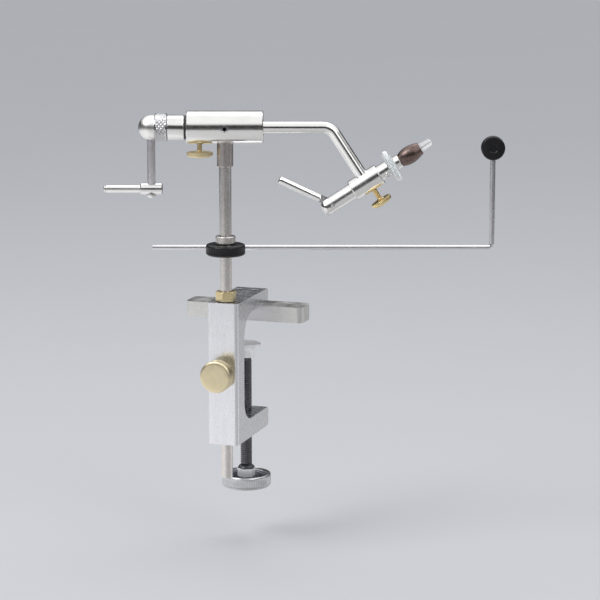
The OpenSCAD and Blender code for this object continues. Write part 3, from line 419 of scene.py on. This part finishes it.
def thread(bm, where, outer, depth, pitch, low, high, sides=24):
    """A helical thread between two heights, which runs out into the core at both ends."""
    # Each turn's form: a share of the pitch, and 1 at the crest or 0 at the root
    form = ((0.0, 1.0), (0.22, 1.0), (0.42, 0.0), (0.78, 0.0))
    last = len(form) - 1
    count = (int((high - low) / pitch) + 2) * sides
    rows = []
    for k in range(count + 1):
        a = TURN * k / sides
        base = low - pitch + pitch * k / sides
        row = []
        for share, crest in form:
            h = min(high, max(low, base + share * pitch))
            end = min(1.0, (h - low) / pitch, (high - h) / pitch)
            r = outer - depth + depth * crest * max(0.0, end)
            row.append(bm.verts.new(where @ Vector((r * MM * math.cos(a), r * MM * math.sin(a), h * MM))))
        rows.append(row)
    for k in range(count):
        for p in range(last):
            bm.faces.new((rows[k][p], rows[k + 1][p], rows[k + 1][p + 1], rows[k][p + 1]))
        up = k + sides
        if up + 1 <= count:
            bm.faces.new((rows[k][last], rows[k + 1][last], rows[up + 1][0], rows[up][0]))
    bmesh.ops.remove_doubles(bm, verts=bm.verts, dist=THREAD_MERGE)
    bmesh.ops.dissolve_degenerate(bm, edges=bm.edges, dist=TINY)


# Pieces that take the place of CAD nodes. Outlines are (radius, height) points.

def clamp_screw():
    """Rolled thread, a plain shank inside the knob, and a grooved tip inside the pad."""
    nut_top, end, tip_l = -121.2, -31.4, 6.7
    neck_r, tip_r, shank_r, sides = 3.2, 3.4, 4.6, 32
    tip = [(neck_r, end - 2.0), (neck_r, end - 0.3), (tip_r, end), (tip_r, end + tip_l)]
    shank = [(shank_r, KNOB_LOW + 0.7), (shank_r, nut_top - 0.8)]
    bm = bmesh.new()
    thread(bm, SCREW, outer=4.76, depth=0.75, pitch=1.5875, low=nut_top - 1.0, high=end - 1.1)
    solid_rod(bm, SCREW, tip, sides)
    solid_rod(bm, SCREW, shank, sides)
    finish_piece("clamp_screw_threaded", bm, M["black_screw"], "screw", ["clamp_screw"],
                 sharp=50)


def clamp_knob():
    """Fluted rim, and a dished top with one turned ring in it."""
    dish, rim_r, steps = KNOB_TOP - DISH, 20.0, 10
    ring = [(12.4, dish), (12.6, dish + 0.25), (13.1, dish + 0.25), (13.3, dish)]
    lip = [(17.6, dish), (18.2, dish + 0.4), (18.6, KNOB_TOP), (19.3, KNOB_TOP), (rim_r, KNOB_TOP - 1.0)]
    rim = [(rim_r, KNOB_TOP - 1.1 - (KNOB_T - 2.3) * i / steps) for i in range(1, steps + 1)]
    under = [(18.8, KNOB_LOW), (8.0, KNOB_LOW), (7.4, KNOB_LOW + 0.5), (4.85, KNOB_LOW + 0.5)]
    outline = rounded([(4.82, dish)] + ring + lip + rim + under, radius=0.4)
    flutes = straight_knurl(count=72, depth=0.35, low=KNOB_LOW + 1.2, high=KNOB_TOP - 1.3, fade=0.9)
    bm = bmesh.new()
    lathe(bm, outline, SCREW, sides=288, shape=flutes)
    finish_piece("clamp_knob_fluted", bm, M["knob"], "screw", ["clamp_knob"], sharp=42)


def lock_knob():
    """The brass knob on the clamp's front: knurled rim, turned face and threaded shank."""
    back, front, rim_l, steps = -18.0, -27.0, 7.0, 12
    face = [(0, front + 0.05), (3.0, front + 0.02), (6.0, front), (9.9, front), (11.2, front + 0.12),
            (12.0, front + 0.45), (12.6, front + 1.1)]
    rim = [(12.7, front + 1.4 + (rim_l * i / steps)) for i in range(steps + 1)]
    behind = [(12.1, back), (5.2, back), (4.6, back + 0.8), (3.9, back + 0.9)]
    knurl = diamond_knurl(count=64, depth=0.32, low=front + 1.5, high=back - 0.5, pitch=1.5, fade=0.5)
    bm = bmesh.new()
    lathe(bm, rounded(face + rim + behind), LOCK_AXIS, sides=320, shape=knurl)
    thread(bm, LOCK_AXIS, outer=3.98, depth=0.55, pitch=1.25, low=back + 0.2, high=-6.85)
    finish_piece("lock_knob_knurled", bm, M["brass"], "lock_knob", ["stem_lock_knob"], sharp=45)


def thumbscrew(name, where, top, disc_top, disc, material, body, node):
    """A brass thumbscrew: threaded shank, small cone and a knurled, domed disc."""
    r, steps = disc / 2, 10
    edge_r, dome_r, dome_top, dome_h = r - 0.02, r * 0.98, disc_top - 2.35, 2.42
    cone = [(0, disc_top + 1.7), (1.7, disc_top + 1.7), (2.05, disc_top + 1.5), (2.4, disc_top + 0.9),
            (3.8, disc_top + 0.02), (r - 0.7, disc_top - 0.05), (r - 0.1, disc_top - 0.4)]
    edge = [(edge_r, disc_top - drop) for drop in (0.7, 1.1, 1.5, 1.9)]
    angles = [math.pi / 2 * i / steps for i in range(1, steps)]
    dome = [(dome_r * math.cos(a), dome_top - dome_h * math.sin(a)) for a in angles]
    outline = cone + edge + [(r - 0.15, disc_top - 2.3)] + dome + [(0, dome_top - dome_h)]
    knurl = straight_knurl(count=48, depth=0.3, low=disc_top - 2.45, high=disc_top - 0.35, fade=0.35)
    bm = bmesh.new()
    thread(bm, where, outer=1.98, depth=0.32, pitch=0.7, low=disc_top + 1.5, high=top, sides=20)
    lathe(bm, rounded(outline, radius=0.3), where, sides=240, shape=knurl)
    finish_piece(name, bm, material, body, [node], sharp=45)


def drag_screw():
    thumbscrew("drag_screw_knurled", DRAG_AXIS, top=-6.87, disc_top=-19.2, disc=20.5,
               material=M["brass_head"], body="drag_screw", node="drag_thumbscrew")


def jaw_screw():
    thumbscrew("jaw_screw_knurled", JAW_SCREW_AXIS, top=-7.46, disc_top=-17.2, disc=17.0,
               material=M["brass_jaw"], body="jaw_screw", node="jaw_lock_screw")


def tension_ring():
    """Diamond knurl between two plain edges, behind the thrust washer and the shaft collar."""
    thrust_t, shaft_collar_l, ring_l = 1.6, 13.4, 9.2
    front = -HEAD_L / 2 - END_PLAY - thrust_t - shaft_collar_l - END_PLAY
    back = front - ring_l
    bore_r, face_r, rim_r, plain, chamfer, steps = 4.83, 10.6, 10.9, 0.7, 0.3, 26
    band = [(rim_r, back + plain + (ring_l - 2 * plain) * i / steps) for i in range(steps + 1)]
    outline = [(bore_r, back), (face_r, back), (rim_r, back + chamfer)] + band
    outline += [(rim_r, front - chamfer), (face_r, front), (bore_r, front), (bore_r, back)]
    knurl = diamond_knurl(count=22, depth=0.62, low=back + 0.8, high=front - 0.8, pitch=2.9, fade=0.6)
    bm = bmesh.new()
    lathe(bm, outline, HEAD_AXIS, sides=240, shape=knurl)
    finish_piece("tension_ring_knurled", bm, M["ring"], "tension_ring", ["tension_ring"],
                 sharp=50)


def material_clip():
    """One fine coil bent into a ring."""
    barrel_front, clip_w, clip_r = 21.2, 5.4, 10.75
    curls, coil_r, wire_r = 72, 2.135, 0.355
    steps, sides, nearby = curls * 16, 8, 1e-4
    middle = Z * (barrel_front + END_PLAY + clip_w / 2)

    def coil_point(t):
        a, c = TURN * t, TURN * t * curls
        r = clip_r + coil_r * math.cos(c)
        return Vector((r * math.cos(a), r * math.sin(a), coil_r * math.sin(c)))

    bm = bmesh.new()
    rings = []
    for i in range(steps):
        t = i / steps
        point = coil_point(t)
        core = Vector((clip_r * math.cos(TURN * t), clip_r * math.sin(TURN * t), 0))
        along = (coil_point(t + nearby) - coil_point(t - nearby)).normalized()
        side = along.cross((point - core).normalized()).normalized()
        rings.append(wire_ring(bm, JAW_AXIS, point + middle, wire_r, side.cross(along), side, sides))
    skin(bm, rings + rings[:1])
    finish_piece("material_clip_coil", bm, M["clip"], "barrel", ["material_clip"], sharp=80)


def cradle_hub():
    """Ribbed rim of the black disc on the stem."""
    rim_r, bore_r, recess_r, recess = 15.5, 5.83, 7.0, 1.2
    low, high, steps = -4.4, 4.4, 8
    rim_low, rim_high = low + 1.2, high - 1.8
    top = [(bore_r, high), (13.2, high), (14.3, high - 0.25), (15.1, high - 0.8), (15.45, high - 1.5)]
    rim = [(rim_r, rim_low + (rim_high - rim_low) * i / steps) for i in range(steps, -1, -1)]
    under = [(14.3, low), (recess_r, low), (recess_r, low + recess), (bore_r, low + recess)]
    ribs = straight_knurl(count=40, depth=0.22, low=low + 1.3, high=high - 1.7, fade=0.9)
    bm = bmesh.new()
    lathe(bm, rounded(top + rim + under) + [top[0]], CRADLE, sides=240, shape=ribs)
    finish_piece("cradle_hub_ribbed", bm, M["black"], "cradle", ["cradle_hub"], sharp=40)


def return_spring():
    """A real coil in the barrel's chamber."""
    low, high, turns, wire_r, coil_r = -18.3, 11.0, 12, 0.45, 3.1
    steps, sides = turns * 20, 8
    bm = bmesh.new()
    rings = []
    for i in range(steps + 1):
        t = i / steps
        a = TURN * turns * t
        height = low + wire_r + (high - low - 2 * wire_r) * t
        out = Vector((math.cos(a), math.sin(a), 0))
        centre = Vector((coil_r * math.cos(a), coil_r * math.sin(a), height))
        rings.append(wire_ring(bm, JAW_AXIS, centre, wire_r, out, Z, sides))
    skin(bm, rings)
    bm.faces.new(rings[0][::-1])
    bm.faces.new(rings[-1])
    finish_piece("return_spring_coil", bm, M["steel_jaw"], "barrel", ["return_spring"],
                 sharp=80)


clamp_screw()
clamp_knob()
lock_knob()
drag_screw()
jaw_screw()
tension_ring()
material_clip()
cradle_hub()
return_spring()


# CAD nodes that keep their shape: a finish, and the width of the broken edges

CARRIED = {
    "clamp_frame": ("clamp", 0.8), "crossbar": ("bar", 0.6), "crossbar_screws": ("bar_screws", 0.15),
    "stop_washer": ("washer", 0.1), "clamp_pad": ("pad", 0.15), "knob_nut": ("nut", 0.3),
    "stem_lock_tip": ("nylon", 0.1), "stem_stop_collar": ("brass_hex", 0.25),
    "stop_collar_screw": ("socket", 0.08), "stem": ("stem", 0.2), "stem_sleeve": ("sleeve", 0.2),
    "head_tube": ("polished_head", 0.25), "front_bush": ("bronze", 0.15), "rear_bush": ("bronze", 0.15),
    "retaining_screw": ("button", 0.12), "drag_tip": ("nylon", 0.1), "arm": ("polished_arm", 0.0),
    "thrust_washer": ("washer", 0.15), "shaft_collar": ("polished_head", 0.2),
    "shaft_collar_screw": ("socket", 0.08), "crank_hub": ("hub", 0.2), "crank_arm": ("crank", 0.15),
    "crank_cross_hub": ("steel_head", 0.2), "crank_end_screw": ("steel_head", 0.1),
    "grip_pin": ("steel_head", 0.1), "crank_grip": ("steel_head", 0.15),
    "jaw_housing": ("polished_jaw", 0.25), "jaw_lock_tip": ("nylon", 0.1),
    "jaw_barrel": ("polished_jaw", 0.15), "barrel_screw": ("steel_jaw", 0.12),
    "nose_collar": ("polished_jaw", 0.15), "jaw_nose": ("nose", 0.15), "upper_jaw": ("jaws", 0.12),
    "lower_jaw": ("jaws", 0.12), "jaw_pivot_pin": ("nose", 0.1), "push_rod": ("steel_jaw", 0.1),
    "cam_lever": ("lever", 0.2), "lever_pin": ("steel_jaw", 0.1), "clip_wheel": ("wheel", 0.1),
    "cradle_collar": ("stem", 0.15), "cradle_collar_screw": ("socket", 0.08), "cradle_ring": ("socket", 0.1),
    "hub_lock_screw": ("socket", 0.08), "cradle_rod": ("rod", 0.2), "bobbin_rest": ("black", 0.15),
}
SHARP_FROM = math.radians(32)


def break_edges(piece, width):
    """Small bevels on the sharp edges, with the flat faces shaded flat."""
    weld = piece.modifiers.new("weld", "WELD")
    weld.merge_threshold = TINY
    bevel = piece.modifiers.new("edges", "BEVEL")
    bevel.width = width * MM
    bevel.segments = 2
    bevel.limit_method = "ANGLE"
    bevel.angle_limit = SHARP_FROM
    bevel.miter_outer = "MITER_SHARP"
    normals = piece.modifiers.new("normals", "WEIGHTED_NORMAL")
    normals.keep_sharp = True


def dress(piece, material, width):
    """Gives a CAD node its material, smooth faces and broken edges."""
    piece.data.materials.clear()
    piece.data.materials.append(material)
    for polygon in piece.data.polygons:
        polygon.use_smooth = True
    if width:
        break_edges(piece, width)


for node, (finish, width) in CARRIED.items():
    dress(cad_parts[node], M[finish], width)


# Floor

SEEN = (0.60, 0.607, 0.62)
LIT = (0.80, 0.80, 0.80)
FAR = (0.05, 0.05, 0.055)
# How far from the stem the floor's tones reach in reflections, and half its width
NEAR_R, FLOOR_HALF = 1.85, 40.0
# The clamp screw can be wound down this far, so the floor lies below that
SCREW_DROP = 44.6
# Tones of the floor in reflections, by direction: a share of a turn round the stem, from -x by way of -y
SECTORS = ((0.0, 0.88), (0.16, 0.92), (0.225, 0.86), (0.28, 0.60), (0.40, 0.48), (0.50, 0.50), (0.56, 0.82),
           (0.62, 0.78), (0.68, 0.50), (0.78, 0.48), (0.86, 0.78), (1.0, 0.88))
SECTOR_TINT = (1, 0.985, 0.96)


def fill_ramp(ramp, stops, tint=(1, 1, 1)):
    """Sets a colour ramp to (position, tone) stops, each tone times the tint."""
    while len(ramp.elements) > 1:
        ramp.elements.remove(ramp.elements[-1])
    first, tone = stops[0]
    ramp.elements[0].position = first
    ramp.elements[0].color = (*[tone * t for t in tint], 1)
    for position, tone in stops[1:]:
        ramp.elements.new(position).color = (*[tone * t for t in tint], 1)


def floor_paper():
    """A matt sheet: a plain tone to the camera, and to reflections one that changes with the direction."""
    faint = 0.99
    n = Nodes("floor_paper")
    soft = n.noise(n.coords(PART, PAPER), detail=2.0)
    seen = n.mix(n.ramp(soft, EVEN), SEEN, [c * faint for c in SEEN])
    split = n.add("ShaderNodeSeparateXYZ")
    n.link(n.coords(POST, (1, 1, 1)), split.inputs[0])
    turn = n.maths("ARCTAN2", split.outputs["Y"], split.outputs["X"])
    around = n.add("ShaderNodeValToRGB")
    fill_ramp(around.color_ramp, SECTORS, SECTOR_TINT)
    n.link(n.ramp(turn, (-math.pi, math.pi)), around.inputs["Fac"])
    mirrored = n.mix(n.within(POST, NEAR_R), FAR, around.outputs["Color"])
    path = n.add("ShaderNodeLightPath")
    unseen = n.mix(path.outputs["Is Glossy Ray"], LIT, mirrored)
    n.link(n.mix(path.outputs["Is Camera Ray"], unseen, seen), n.shader.inputs["Base Color"])
    n.shader.inputs["Roughness"].default_value = 0.85
    n.shader.inputs["Specular IOR Level"].default_value = 0.2
    return n.material


def lay_floor():
    """A wide flat sheet below the part."""
    size, low = FLOOR_HALF, cad_low.z - SCREW_DROP * MM
    corners = [(-size, -size, low), (size, -size, low), (size, size, low), (-size, size, low)]
    mesh = bpy.data.meshes.new("floor")
    mesh.from_pydata(corners, [], [(0, 1, 2, 3)])
    mesh.materials.append(floor_paper())
    floor = bpy.data.objects.new("floor", mesh)
    bpy.context.scene.collection.objects.link(floor)


lay_floor()


# World: pale and even for surfaces, with a soft dark gap near the horizon in reflections

EVEN_LIGHT, EVEN_STRENGTH = (0.93, 0.95, 1.0), 0.72
# Tones of the world in reflections, from straight down at 0 to straight up at 1
HEIGHTS = ((0.0, 0.70), (0.49, 0.50), (0.505, 0.03), (0.69, 0.03), (0.735, 0.85), (0.80, 1.0), (1.0, 1.0))


def background(tree, colour=(1, 1, 1), strength=1.0):
    node = tree.nodes.new("ShaderNodeBackground")
    node.inputs["Color"].default_value = (*colour, 1)
    node.inputs["Strength"].default_value = strength
    return node


def mirrored_world(tree):
    """A background whose tone changes with the height of the direction."""
    coords = tree.nodes.new("ShaderNodeTexCoord")
    split = tree.nodes.new("ShaderNodeSeparateXYZ")
    up = tree.nodes.new("ShaderNodeMapRange")
    up.inputs["From Min"].default_value = -1.0
    tones = tree.nodes.new("ShaderNodeValToRGB")
    fill_ramp(tones.color_ramp, HEIGHTS)
    mirrored = background(tree)
    tree.links.new(coords.outputs["Generated"], split.inputs[0])
    tree.links.new(split.outputs["Z"], up.inputs["Value"])
    tree.links.new(up.outputs["Result"], tones.inputs["Fac"])
    tree.links.new(tones.outputs["Color"], mirrored.inputs["Color"])
    return mirrored


def choose(tree, ray, others, this):
    """One shader for a kind of ray, and another for all other rays."""
    node = tree.nodes.new("ShaderNodeMixShader")
    tree.links.new(ray, node.inputs[0])
    tree.links.new(others.outputs[0], node.inputs[1])
    tree.links.new(this.outputs[0], node.inputs[2])
    return node


def studio():
    world = bpy.data.worlds.new("studio")
    bpy.context.scene.world = world
    world.use_nodes = True
    tree = world.node_tree
    tree.nodes.clear()
    path = tree.nodes.new("ShaderNodeLightPath")
    even = background(tree, EVEN_LIGHT, EVEN_STRENGTH)
    unseen = choose(tree, path.outputs["Is Glossy Ray"], even, mirrored_world(tree))
    whole = choose(tree, path.outputs["Is Camera Ray"], unseen, background(tree, SEEN))
    out = tree.nodes.new("ShaderNodeOutputWorld")
    tree.links.new(whole.outputs[0], out.inputs[0])


studio()


# Lamps and camera

TARGET = Vector((0.05567, -0.03441, 0.0239))
CAMERA_AT = (0.6221, -1.7776, 0.3736)
SENSOR_W, LENS, CLIP_END = 36.0, 141.7, 200


def aim(thing, where):
    """Puts a lamp or the camera in its place, turned to the target."""
    thing.location = where
    thing.rotation_euler = (TARGET - thing.location).to_track_quat("-Z", "Y").to_euler()
    bpy.context.scene.collection.objects.link(thing)


def lamp(name, where, size, watts):
    data = bpy.data.lights.new(name, "AREA")
    data.shape = "RECTANGLE"
    data.size, data.size_y = size
    data.energy = watts
    aim(bpy.data.objects.new(name, data), where)


def camera():
    data = bpy.data.cameras.new("camera")
    data.sensor_width = SENSOR_W
    data.lens = LENS
    data.clip_end = CLIP_END
    eye = bpy.data.objects.new("camera", data)
    aim(eye, CAMERA_AT)
    bpy.context.scene.camera = eye


lamp("key", where=(-0.9, -1.1, 1.5), size=(0.9, 0.9), watts=13)
lamp("fill", where=(1.3, -0.9, 0.9), size=(0.8, 1.2), watts=4)
lamp("top", where=(0.1, 0.5, 1.6), size=(1.4, 0.8), watts=5)
camera()
bpy.context.scene.view_settings.view_transform = "Standard"
